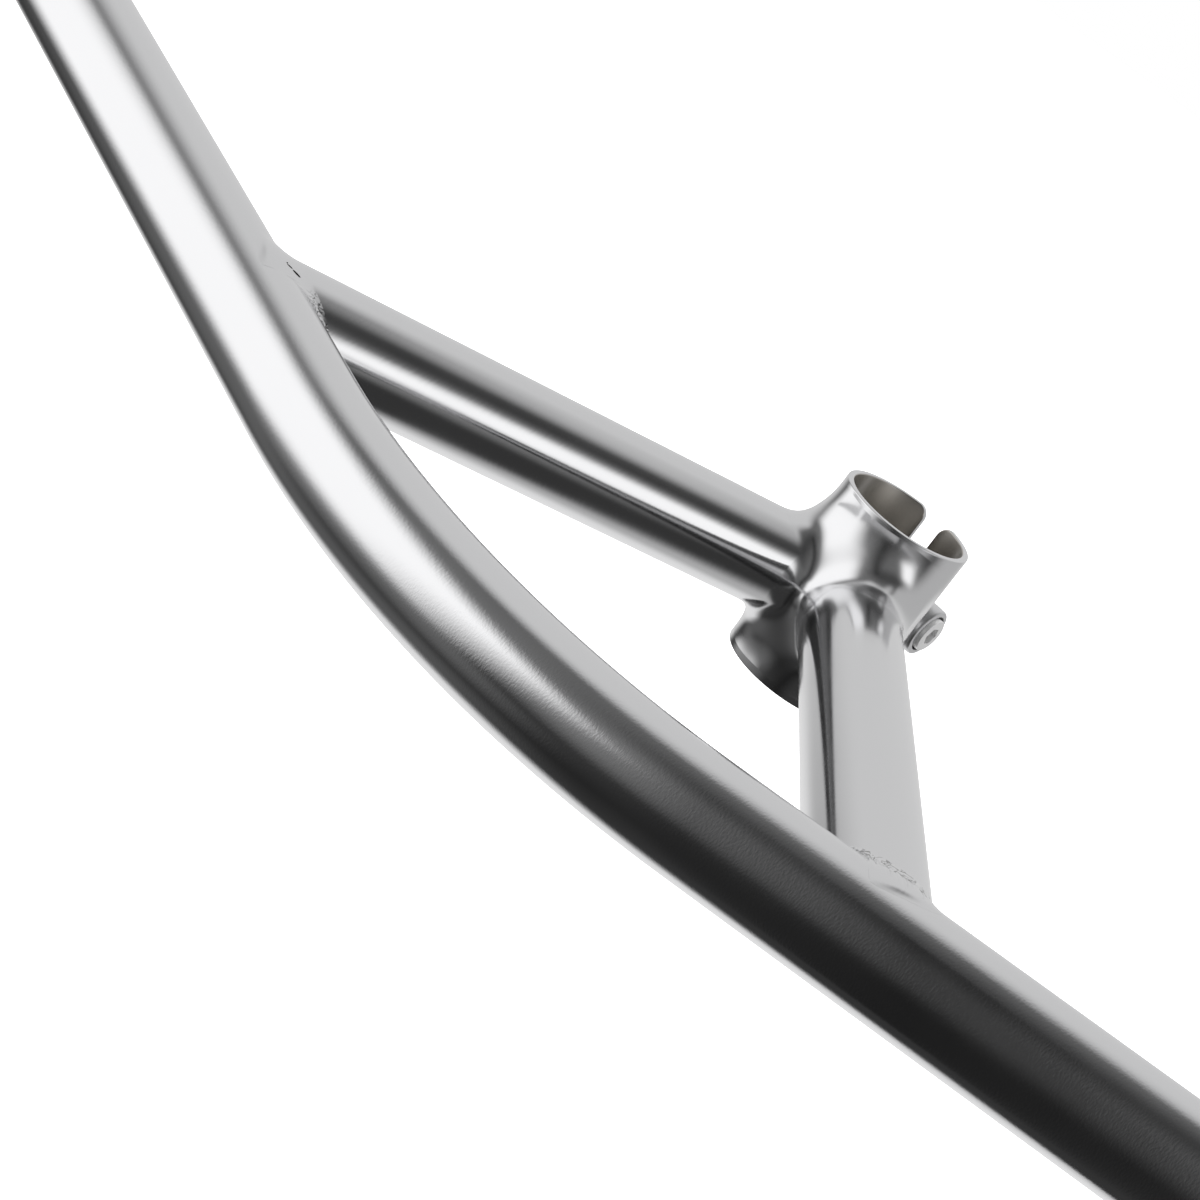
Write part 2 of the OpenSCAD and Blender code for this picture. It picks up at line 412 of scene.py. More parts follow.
@dataclass(frozen=True)
class Bar:
    """The swept bar: a bend in the middle and two straight legs that take the grips."""

    radius: float = 11.1
    bore: float = 9.5
    width: float = 750.0
    bend: float = 185.0
    sweep: float = math.radians(17.5)
    tilt: float = math.radians(11.5)
    reach: float = 143.0
    joint_x: float = 88.5
    rim: float = 0.4
    segments: int = 144
    bend_steps: int = 56

    @property
    def joint_back(self) -> float:
        """Distance from the bar's front to the tube joint, measured in the bar's own plane."""
        arc_x = self.bend * math.sin(self.sweep)
        arc_back = self.bend * (1 - math.cos(self.sweep))
        return arc_back + (self.joint_x - arc_x) * math.tan(self.sweep)

    @property
    def joint(self) -> Vector:
        """Centre of the right tube joint."""
        return Vector((self.joint_x, self.joint_back * math.cos(self.tilt) - self.reach, 0.0))

    @property
    def leg(self) -> Vector:
        """Direction in which the right leg runs out to its tip."""
        back = math.sin(self.sweep)
        return Vector(
            (math.cos(self.sweep), back * math.cos(self.tilt), back * math.sin(self.tilt))
        )

    @property
    def place(self) -> Matrix:
        """Lays the bar's own plane, drawn round the centre of its bend, into the part."""
        drop = self.joint_back * math.sin(self.tilt)
        return (
            Matrix.Translation((0, -self.reach, -drop))
            @ Matrix.Rotation(self.tilt, 4, "X")
            @ Matrix.Translation((0, self.bend, 0))
        )

    def half_skin(self, bm: Mesh, radius: float) -> list[Vert]:
        """Draws one round skin from the middle of the bend out to the right tip.

        Args:
            bm: Mesh that takes the skin.
            radius: Radius of the skin.

        Returns:
            The loop of vertices at the tip.
        """
        verts = round_loop(bm, radius, self.segments)
        bmesh.ops.transform(
            bm,
            matrix=Matrix.Translation((0, -self.bend, 0)) @ Matrix.Rotation(math.pi / 2, 4, "Y"),
            verts=verts,
        )
        spun = bmesh.ops.spin(
            bm,
            geom=verts + loop_edges(verts),
            cent=(0, 0, 0),
            axis=(0, 0, 1),
            angle=self.sweep,
            steps=self.bend_steps // 2,
            use_merge=False,
            use_duplicate=False,
        )["geom_last"]
        loop = [g for g in spun if isinstance(g, Vert)]
        leg = (self.width / 2 - self.bend * math.sin(self.sweep)) / math.cos(self.sweep)
        out = Vector((math.cos(self.sweep), math.sin(self.sweep), 0.0)) * leg
        grown = bmesh.ops.extrude_edge_only(bm, edges=loop_edges(loop))["geom"]
        tip = [g for g in grown if isinstance(g, Vert)]
        bmesh.ops.translate(bm, vec=out, verts=tip)
        return tip

    def build(self, finish: bpy.types.Material) -> bpy.types.Object:
        """Builds the whole bar, open at both tips.

        Args:
            finish: Material of the bar.

        Returns:
            The dressed bar.
        """
        bm = bmesh.new()
        outer = self.half_skin(bm, self.radius)
        inner = self.half_skin(bm, self.bore)
        rims = loop_edges(outer) + loop_edges(inner)
        bmesh.ops.bridge_loops(bm, edges=rims)
        bmesh.ops.bevel(
            bm, geom=rims, offset=self.rim, segments=3, profile=0.5, affect="EDGES", material=-1
        )
        bmesh.ops.mirror(bm, geom=everything(bm), axis="X", merge_dist=0.01)
        bmesh.ops.remove_doubles(bm, verts=bm.verts, dist=MERGE)
        bmesh.ops.recalc_face_normals(bm, faces=bm.faces)
        bmesh.ops.transform(bm, matrix=self.place, verts=bm.verts)
        return dress(smooth_object(bm, "bar"), finish, Slot.BAR, "bar_tube")


@dataclass(frozen=True)
class Blend:
    """Smooth blend of filler metal between a round host and a tube that leaves it.

    It is met by rays from the joint's centre: lean is the angle from the tube, and turn
    goes round it from its top.
    """

    host: Vector
    host_r: float
    tube: Vector
    tube_r: float
    top: float
    under: float
    side: float
    fork: float = 0.0
    rise: float = 1.3
    ahead: float = 0.75
    far: float = 70.0
    halvings: int = 30
    least_lean: float = math.radians(2)
    most_lean: float = math.radians(150)

    @staticmethod
    def off_bar(points: np.ndarray, axis: Vector, radius: float) -> np.ndarray:
        """Returns the distance of points from a long round bar through the origin."""
        line = np.array(axis)
        return np.linalg.norm(points - (points @ line)[:, None] * line, axis=1) - radius

    def off_tube(self, points: np.ndarray) -> np.ndarray:
        """Returns the distance of points from the tube, which starts at the origin."""
        beside = self.off_bar(points, self.tube, self.tube_r)
        past = -(points @ np.array(self.tube))
        return np.where(past > 0, np.hypot(past, np.maximum(beside, 0)), beside)

    def off_twin(self, points: np.ndarray) -> np.ndarray:
        """Returns the distance of points from the mirrored tube, if there is one."""
        if self.fork == 0:
            return np.full(len(points), self.far)
        return self.off_tube(points * (-1, 1, 1))

    @staticmethod
    def rounded(a: np.ndarray, b: np.ndarray, reach: np.ndarray | float) -> np.ndarray:
        """Returns the smaller of two distances with the corner between them rounded."""
        share = np.maximum(reach - np.abs(a - b), 0) / reach
        return np.minimum(a, b) - share * share * reach / 4

    def reach(self, points: np.ndarray) -> np.ndarray:
        """Returns the blend's reach, which grows up and down ahead of the host's axis."""
        wide = np.where(points[:, 2] > 0, self.top, self.under)
        share = np.minimum(np.abs(points[:, 2]) / (self.rise * self.tube_r), 1)
        share = share * np.clip(points @ np.array(self.tube) / (self.ahead * self.host_r), 0, 1)
        return self.side + (wide - self.side) * share * share * (3 - 2 * share)

    def sharp(self, points: np.ndarray) -> np.ndarray:
        """Returns the distance from the bare host and tubes."""
        bare = np.minimum(self.off_bar(points, self.host, self.host_r), self.off_tube(points))
        return np.minimum(bare, self.off_twin(points))

    def soft(self, points: np.ndarray) -> np.ndarray:
        """Returns the distance from the blended joint."""
        tubes = self.off_tube(points)
        if self.fork:
            tubes = self.rounded(tubes, self.off_twin(points), self.fork)
        host = self.off_bar(points, self.host, self.host_r)
        return self.rounded(host, tubes, self.reach(points))

    def rays(self, lean: np.ndarray, turn: np.ndarray) -> np.ndarray:
        """Returns the unit rays at the given angles."""
        along = np.array(self.tube)
        up = np.array((0.0, 0.0, 1.0)) - along[2] * along
        up /= np.linalg.norm(up)
        across = np.cross(along, up)
        round_it = np.cos(turn)[:, None] * up + np.sin(turn)[:, None] * across
        return np.cos(lean)[:, None] * along + np.sin(lean)[:, None] * round_it

    def leave(self, ray: np.ndarray, shape: Callable) -> np.ndarray:
        """Returns how far along each ray it leaves the given shape."""
        near, far = np.full(len(ray), 1.0), np.full(len(ray), self.far)
        for _ in range(self.halvings):
            mid = (near + far) / 2
            inside = shape(ray * mid[:, None]) < 0
            near, far = np.where(inside, mid, near), np.where(inside, far, mid)
        return (near + far) / 2

    def meet(self, lean: np.ndarray, turn: np.ndarray, shape: Callable) -> np.ndarray:
        """Returns how far the rays at the given angles leave the given shape."""
        return self.leave(self.rays(lean, turn), shape)

    def filled(self, lean: np.ndarray, turn: np.ndarray) -> np.ndarray:
        """Returns the thickness of the blend along each ray."""
        return self.meet(lean, turn, self.soft) - self.meet(lean, turn, self.sharp)

    def corner(self, turn: np.ndarray) -> np.ndarray:
        """Returns the lean at which tube and host meet."""
        low, high = (np.full(len(turn), lean) for lean in (self.least_lean, self.most_lean))
        for _ in range(self.halvings):
            mid = (low + high) / 2
            point = self.rays(mid, turn) * self.meet(mid, turn, self.sharp)[:, None]
            on_tube = self.off_tube(point) < self.off_bar(point, self.host, self.host_r)
            low, high = np.where(on_tube, mid, low), np.where(on_tube, high, mid)
        return (low + high) / 2

    def middle(self, turn: np.ndarray) -> np.ndarray:
        """Returns the lean at which a ray reaches the plane between the two tubes."""
        wide = np.full(len(turn), self.most_lean)
        if self.fork == 0:
            return wide
        inward = -(self.rays(np.full(len(turn), math.pi / 2), turn)[:, 0])
        crosses = inward > 1e-9
        lean = np.arctan2(self.tube.x, np.where(crosses, inward, 1.0))
        return np.where(crosses, np.minimum(wide, lean), wide)

    def thin_edge(
        self, turn: np.ndarray, full: np.ndarray, empty: np.ndarray, level: np.ndarray
    ) -> np.ndarray:
        """Returns the lean between two others at which the blend thins out to a level."""
        for _ in range(self.halvings):
            mid = (full + empty) / 2
            thick = self.filled(mid, turn) > level
            full, empty = np.where(thick, mid, full), np.where(thick, empty, mid)
        return (full + empty) / 2

    def spans(
        self, turn: np.ndarray, on_tube: np.ndarray, on_host: np.ndarray
    ) -> tuple[np.ndarray, np.ndarray]:
        """Finds the leans between which the blend runs.

        Args:
            turn: Turns round the tube.
            on_tube: Thickness at which the blend ends on the tube.
            on_host: Thickness at which it ends on the host, unless it meets its twin.

        Returns:
            The first and the last lean of each turn.
        """
        stop = self.middle(turn)
        full = np.minimum(self.corner(turn), stop - math.radians(0.5))
        first = self.thin_edge(turn, full, np.full(len(turn), self.least_lean), on_tube)
        meets = self.filled(stop, turn) > on_host
        return first, np.where(meets, stop, self.thin_edge(turn, full, stop, on_host))


@dataclass(frozen=True)
class BlendSkin:
    """A closed shell of filler metal: its polished skin, and a seat sunk in the walls."""

    blend: Blend
    columns: int = 256
    rows: int = 40
    edge: float = 0.006
    seat_depth: float = 0.35

    def place(self, u: np.ndarray, v: np.ndarray) -> np.ndarray:
        """Puts a flat grid on the shell: v below one half is skin, and above it seat.

        Args:
            u: Share of the way round the tube.
            v: Share of the way across the skin and back along the seat.

        Returns:
            Points in millimetres from the joint's centre.
        """
        row = np.round(v * 2 * self.rows)
        on_seat = (row > self.rows) & (row < 2 * self.rows)
        across = np.where(
            on_seat,
            1 - (row - self.rows - 1) / (self.rows - 2),
            np.minimum(row, 2 * self.rows - row) / self.rows,
        )
        turns = np.unique(np.round(u, 9))
        first, last = self.blend.spans(turns * math.tau, *self.edges(turns * math.tau))
        pick = np.searchsorted(turns, np.round(u, 9))
        first, last = first[pick], last[pick]
        turn, lean = u * math.tau, first + (last - first) * across
        skin = self.blend.meet(lean, turn, self.blend.soft) + self.ripple(turn, across)
        seat = self.blend.meet(lean, turn, self.blend.sharp) - self.seat_depth
        reach = np.where(on_seat, seat, skin)
        return self.blend.rays(lean, turn) * reach[:, None]

    def edges(self, turn: np.ndarray) -> tuple[np.ndarray, np.ndarray]:
        """Returns the skin's thickness at its edges on the tube and on the host."""
        thin = np.full(len(turn), self.edge)
        return thin, thin

    def ripple(self, turn: np.ndarray, across: np.ndarray) -> np.ndarray:
        """Returns the height of the torch's ripples, of which a polished skin has none."""
        return np.zeros(len(turn))

    def shell(self) -> Mesh:
        """Returns the closed shell round the joint's centre."""
        return sheet(self.columns, 2 * self.rows, self.place)


@dataclass(frozen=True)
class WeldSkin(BlendSkin):
    """A bead whose crescent ripples show on the tube's side, where it was left as laid."""

    columns: int = 1080
    rows: int = 24
    pitch: float = 1.1
    path: float = 1.5
    bow: float = 1.1
    depth: float = 0.22
    crown: float = 0.1
    grain: float = 0.008
    sharpness: float = 3.5
    # Size, waves round the tube, waves across the bead and phase of each drift
    drifts: tuple[tuple[float, float, float, float], ...] = (
        (0.5, 3, 0, 1.3),
        (0.15, 17, 0, 0),
        (0.1, 41, 4, 0),
    )
    centre: float = 0.0
    spread: float = math.pi + 1
    run_out: float = 0.35

    def laid(self, turn: np.ndarray) -> np.ndarray:
        """Returns how much of the bead at each turn was left as it was laid."""
        off = np.abs((turn - self.centre + math.pi) % math.tau - math.pi)
        return np.clip((self.spread - off) / self.run_out, 0, 1)

    def ripple(self, turn: np.ndarray, across: np.ndarray) -> np.ndarray:
        """Returns the height of the bead's crown less the grooves between its crescents."""
        count = round(math.tau * (self.blend.tube_r + self.path) / self.pitch)
        bowed = self.bow * (2 * across - 1) ** 2
        drift = sum(a * np.sin(turn * b + across * c + d) for a, b, c, d in self.drifts)
        phase = (turn / math.tau * count + bowed + drift) % 1.0
        uneven = 0.65 + 0.35 * np.sin(turn * 23 + across * 5)
        groove = (2 * np.abs(phase - 0.5)) ** self.sharpness * uneven
        grain = self.grain * np.sin(turn * 211 + across * 23)
        # The ripples die out towards the host, where the mop reached them
        kept = np.sin(math.pi * across) ** 0.5 * np.clip(1.8 - 2 * across, 0, 1)
        return self.laid(turn) * kept * (self.crown - self.depth * groove + grain)


@dataclass(frozen=True)
class ExtensionTube:
    """A plain round tube, mitred against the collar at one end and the bar at the other."""

    side: Side
    bar: Bar
    radius: float = TUBE_R
    bore: float = 9.8
    collar_r: float = COLLAR_R
    sunk: float = 0.5
    segments: int = 144

    @property
    def direction(self) -> Vector:
        """Unit vector from the collar's axis to this tube's joint on the bar."""
        joint = self.bar.joint.normalized()
        return Vector((joint.x * self.side.value, joint.y, joint.z))

    def mitre(
        self, point: Vector, centre: Vector, axis: Vector, radius: float, way: float
    ) -> Vector:
        """Slides a point along the tube on to a round host's surface.

        Args:
            point: The point.
            centre: A point on the host's axis.
            axis: The host's direction.
            radius: The host's radius.
            way: Sign of the side of the host that the tube meets.

        Returns:
            The point on the host.
        """
        line = self.direction
        flat = line - line.dot(axis) * axis
        start = (point - centre) - (point - centre).dot(axis) * axis
        a, b, c = flat.dot(flat), flat.dot(start), start.dot(start) - radius * radius
        return point + line * ((-b + way * math.sqrt(max(b * b - a * c, 0.0))) / a)

    def build(self, finish: bpy.types.Material) -> bpy.types.Object:
        """Builds the tube as a closed wall between its two mitres.

        Args:
            finish: Material of the tube.

        Returns:
            The dressed tube.
        """
        bm = bmesh.new()
        leg = self.bar.leg
        leg = Vector((leg.x * self.side.value, leg.y, leg.z))
        joint = self.direction * self.bar.joint.length
        rims = []
        for radius in (self.radius, self.bore):
            near = round_loop(bm, radius, self.segments)
            bmesh.ops.transform(bm, matrix=turn_to(self.direction), verts=near)
            grown = bmesh.ops.extrude_edge_only(bm, edges=loop_edges(near))["geom"]
            far = [g for g in grown if isinstance(g, Vert)]
            for vert in far:
                vert.co = self.mitre(vert.co, joint, leg, self.bar.radius - self.sunk, -1)
            for vert in near:
                vert.co = self.mitre(
                    vert.co, Vector(), Vector((0, 0, 1)), self.collar_r - self.sunk, 1
                )
            rims.append((loop_edges(near), loop_edges(far)))
        for end in (0, 1):
            bmesh.ops.bridge_loops(bm, edges=rims[0][end] + rims[1][end])
        bmesh.ops.recalc_face_normals(bm, faces=bm.faces)
        name = f"{self.side.name.lower()}_extension_tube"
        return dress(smooth_object(bm, name.replace("extension_", "")), finish, Slot.TUBES, name)


@dataclass(frozen=True)
class Brazing:
    """Filler metal at all four tube ends: polished at the collar, rippled at the bar."""

    bar: Bar
    collar_r: float = COLLAR_R
    tube_r: float = TUBE_R
    top: float = 10.8
    under: float = 10.2
    beside: float = 4.5
    fork: float = 8.0
    bead: float = 2.3
    pit_slope: float = 0.66
    pit_depth: float = 0.12
    pits: tuple[tuple[float, float, float, float], ...] = (
        (81.4, -121.95, 2.1, 0.6),
        (83.0, -122.8, 1.4, 0.12),
        (83.9, -122.9, 0.35, 0.3),
    )

    def fillets(self, finish: bpy.types.Material) -> bpy.types.Object:
        """Builds the polished web that joins both tubes and the collar.

        Args:
            finish: Material of the web.

        Returns:
            The dressed web.
        """
        blend = Blend(
            host=Vector((0, 0, 1)),
            host_r=self.collar_r,
            tube=self.bar.joint.normalized(),
            tube_r=self.tube_r,
            top=self.top,
            under=self.under,
            side=self.beside,
            fork=self.fork,
        )
        bm = BlendSkin(blend).shell()
        seam = [f for f in bm.faces if all(abs(v.co.x) < 1e-3 for v in f.verts)]
        bmesh.ops.delete(bm, geom=seam, context="FACES_ONLY")
        for vert in bm.verts:
            if abs(vert.co.x) < 1e-3:
                vert.co.x = 0.0
        bmesh.ops.mirror(bm, geom=everything(bm), axis="X", merge_dist=1e-3)
        bmesh.ops.remove_doubles(bm, verts=bm.verts, dist=MERGE)
        bmesh.ops.recalc_face_normals(bm, faces=bm.faces)
        return dress(
            smooth_object(bm, "collar_fillets", 70.0),
            finish,
            Slot.FILLETS,
            "left_collar_fillet",
            "right_collar_fillet",
        )

    def weld(self, side: Side, finish: bpy.types.Material) -> bpy.types.Object:
        """Builds the rippled bead where a tube meets the bar.

        Args:
            side: Which joint.
            finish: Material of the bead.

        Returns:
            The dressed bead.
        """
        skin = WeldSkin(self.bead_blend())
        if side is Side.LEFT:
            skin = replace(skin, centre=math.radians(275), spread=math.radians(45))
        bm = skin.shell()
        bmesh.ops.translate(bm, vec=self.bar.joint, verts=bm.verts)
        if side is Side.LEFT:
            bmesh.ops.scale(bm, vec=(-1, 1, 1), verts=bm.verts)
            bmesh.ops.recalc_face_normals(bm, faces=bm.faces)
        name = f"{side.name.lower()}_bar_weld"
        return dress(smooth_object(bm, name.replace("_bar", ""), 60.0), finish, Slot.WELDS, name)

    def bead_blend(self) -> Blend:
        """Returns the blend of the right tube's bead, round its joint on the bar."""
        return Blend(
            host=self.bar.leg,
            host_r=self.bar.radius,
            tube=-self.bar.joint.normalized(),
            tube_r=self.tube_r,
            top=self.bead,
            under=self.bead,
            side=self.bead,
        )

    def top_of_bead(self, x: float, y: float) -> Vector:
        """Returns the point on top of the right bead at the given place."""
        blend, low, high = self.bead_blend(), 0.0, 16.0
        for _ in range(blend.halvings):
            mid = (low + high) / 2
            spot = np.array([Vector((x, y, mid)) - self.bar.joint])
            low, high = (mid, high) if blend.soft(spot)[0] < 0 else (low, mid)
        return Vector((x, y, low))

    def pit(self, finish: bpy.types.Material) -> bpy.types.Object:
        """Builds the small slit that the filler metal left open on the left joint, painted near
        black as its shade.

        Args:
            finish: Material of the slit, a near-black painted shade.

        Returns:
            The dressed slit.
        """
        bm = bmesh.new()
        for x, y, length, width in self.pits:
            along = Vector((-length, self.pit_slope * length)) / 2
            near, far = (self.top_of_bead(x + k * along.x, y + k * along.y) for k in (-1, 1))
            turn = (far - near).to_track_quat("X", "Z").to_matrix().to_4x4()
            size = Matrix.Diagonal((length / 2, width / 2, self.pit_depth, 1.0))
            place = Matrix.Translation(self.top_of_bead(x, y)) @ turn @ size
            bmesh.ops.create_uvsphere(bm, u_segments=24, v_segments=12, radius=1.0, matrix=place)
        bmesh.ops.scale(bm, vec=(-1, 1, 1), verts=bm.verts)
        bmesh.ops.recalc_face_normals(bm, faces=bm.faces)
        return dress(smooth_object(bm, "left_weld_pit"), finish, Slot.WELDS, "left_bar_weld")


@dataclass(frozen=True)
class SteererClamp:
    """The slotted collar and the two halves of the lug that its bolt draws together."""

    bore: float = 14.3
    radius: float = COLLAR_R
    height: float = 45.5
    slot: float = 4.8
    corner: float = 3.0
    rim: float = 0.3
    lug_r: float = 6.15
    lug_len: float = 26.0
    lug_edge: float = 0.6
    sunk: float = 0.6
    bolt_y: float = BOLT_Y
    hole_r: float = 2.6
    pocket_r: float = 4.85
    pocket_depth: float = 4.0
    steps: int = 180

    def wall(self, finish: bpy.types.Material) -> bpy.types.Object:
        """Rolls a flat plate with rounded corners into the collar's wall.

        Args:
            finish: Material of the collar.

        Returns:
            The dressed wall.
        """
        bm = bmesh.new()
        half = math.pi * self.radius
        bmesh.ops.create_grid(bm, x_segments=1, y_segments=1, size=0.5)
        bmesh.ops.scale(bm, vec=(2 * half, self.height, 1), verts=bm.verts)
        bmesh.ops.bevel(
            bm,
            geom=bm.verts[:],
            offset=self.corner,
            segments=10,
            profile=0.5,
            affect="VERTICES",
            material=-1,
        )
        grown = bmesh.ops.extrude_face_region(bm, geom=bm.faces[:], use_keep_orig=True)["geom"]
        top = [g for g in grown if isinstance(g, Vert)]
        bmesh.ops.translate(bm, vec=(0, 0, self.radius - self.bore), verts=top)
        bmesh.ops.recalc_face_normals(bm, faces=bm.faces)
        lips = [e for e in bm.edges if abs(e.verts[0].co.z - e.verts[1].co.z) < 1e-6]
        bmesh.ops.bevel(
            bm, geom=lips, offset=self.rim, segments=3, profile=0.5, affect="EDGES", material=-1
        )
        for k in range(1, self.steps):
            bmesh.ops.bisect_plane(
                bm,
                geom=everything(bm),
                dist=1e-5,
                plane_co=(half * (2 * k / self.steps - 1), 0, 0),
                plane_no=(1, 0, 0),
            )
        for vert in bm.verts:
            x, z, deep = vert.co
            radius = self.bore + deep
            limit = math.pi - math.asin(self.slot / 2 / radius)
            turn = x / half * limit
            vert.co = (radius * math.sin(turn), -radius * math.cos(turn), z)
        bmesh.ops.recalc_face_normals(bm, faces=bm.faces)
        return dress(smooth_object(bm, "collar"), finish, Slot.COLLAR, "steerer_clamp")

    def lug(self, side: Side, finish: bpy.types.Material) -> bpy.types.Object:
        """Turns one half of the lug, with the bolt's hole, and fits it to the collar.

        Args:
            side: Which half. The right one has the pocket for the bolt's head.
            finish: Material of the lug.

        Returns:
            The dressed half.
        """
        bm = bmesh.new()
        end, foot = self.lug_len / 2, self.slot / 2
        hole = [(self.hole_r, end), (self.hole_r, foot)]
        if side is Side.RIGHT:
            floor = end - self.pocket_depth
            hole = [
                (self.pocket_r, end),
                (self.pocket_r, floor),
                (self.hole_r, floor),
                (self.hole_r, foot),
            ]
        outer = [
            (self.lug_r - 0.15, foot),
            (self.lug_r, foot + 0.15),
            (self.lug_r, end - self.lug_edge),
            (self.lug_r - 0.08, end - self.lug_edge / 2),
            (self.lug_r - 0.25, end - 0.08),
            (self.lug_r - 0.5, end),
        ]
        lathe(bm, hole + outer + hole[:1], 96)
        bmesh.ops.transform(bm, matrix=Matrix.Rotation(math.pi / 2, 4, "Y"), verts=bm.verts)
        bmesh.ops.translate(bm, vec=(0, self.bolt_y, 0), verts=bm.verts)
        if side is Side.LEFT:
            bmesh.ops.scale(bm, vec=(-1, 1, 1), verts=bm.verts)
            bmesh.ops.recalc_face_normals(bm, faces=bm.faces)
        core = bmesh.new()
        bmesh.ops.create_cone(
            core,
            cap_ends=True,
            segments=144,
            radius1=self.radius - self.sunk,
            radius2=self.radius - self.sunk,
            depth=self.height,
        )
        bm = carve(bm, core)
        piece = smooth_object(bm, f"{side.name.lower()}_lug", 30.0)
        return dress(piece, finish, Slot.COLLAR, "steerer_clamp")


@dataclass(frozen=True)
class ClampBolt:
    """The socket-head bolt that draws the lug together."""

    shank_r: float = 2.5
    shank_len: float = 20.0
    head_r: float = 4.25
    head_h: float = 5.0
    chamfer: float = 0.3
    round_off: float = 0.35
    flats: float = 4.0
    socket_depth: float = 2.5
    seat_x: float = 9.0
    bolt_y: float = BOLT_Y

    def build(self, finish: bpy.types.Material) -> bpy.types.Object:
        """Builds the bolt, its head's underside on the pocket's floor.

        Args:
            finish: Material of the bolt.

        Returns:
            The dressed bolt.
        """
        bm = bmesh.new()
        lathe(
            bm,
            [
                (0.0, -self.shank_len),
                (self.shank_r - self.chamfer, -self.shank_len),
                (self.shank_r, -self.shank_len + self.chamfer),
                (self.shank_r, 0.0),
                (self.head_r, 0.0),
                (self.head_r, self.head_h - self.round_off),
                (self.head_r - 0.1, self.head_h - 0.1),
                (self.head_r - self.round_off, self.head_h),
                (self.flats / 2 + 0.5, self.head_h),
                (0.0, self.head_h),
            ],
            64,
        )
        key = bmesh.new()
        bmesh.ops.create_cone(
            key,
            cap_ends=True,
            segments=6,
            radius1=self.flats / 2 / math.cos(math.pi / 6),
            radius2=self.flats / 2 / math.cos(math.pi / 6),
            depth=2 * self.socket_depth,
            matrix=Matrix.Translation((0, 0, self.head_h)),
        )
        bm = carve(bm, key)
        bmesh.ops.transform(bm, matrix=Matrix.Rotation(math.pi / 2, 4, "Y"), verts=bm.verts)
        bmesh.ops.translate(bm, vec=(self.seat_x, self.bolt_y, 0), verts=bm.verts)
        return dress(smooth_object(bm, "bolt", 30.0), finish, Slot.BOLT, "clamp_bolt")


# The studio


@dataclass(frozen=True)
class Panel:
    """A flat soft-edged panel of the studio, light or dark, far off from the part.

    It faces the part from the given azimuth, which runs from +X towards +Y, and
    elevation. Half sizes and soft edges are in multiples of the panel's distance.
    """

    level: float
    azimuth: float
    elevation: float
    half: tuple[float, float]
    roll: float = 0.0
    soft: tuple[float, float] = (0.12, 0.12)
    skew: float = 0.0

    @property
    def axes(self) -> tuple[Vector, Vector, Vector]:
        """Unit vectors towards the panel, across it and up it."""
        around, above = math.radians(self.azimuth), math.radians(self.elevation)
        towards = Vector(
            (
                math.cos(above) * math.cos(around),
                math.cos(above) * math.sin(around),
                math.sin(above),
            )
        )
        level = Vector((math.sin(around), -math.cos(around), 0.0))
        turn = Matrix.Rotation(-math.radians(self.roll), 3, towards)
        across = turn @ level
        return towards, across, across.cross(towards)


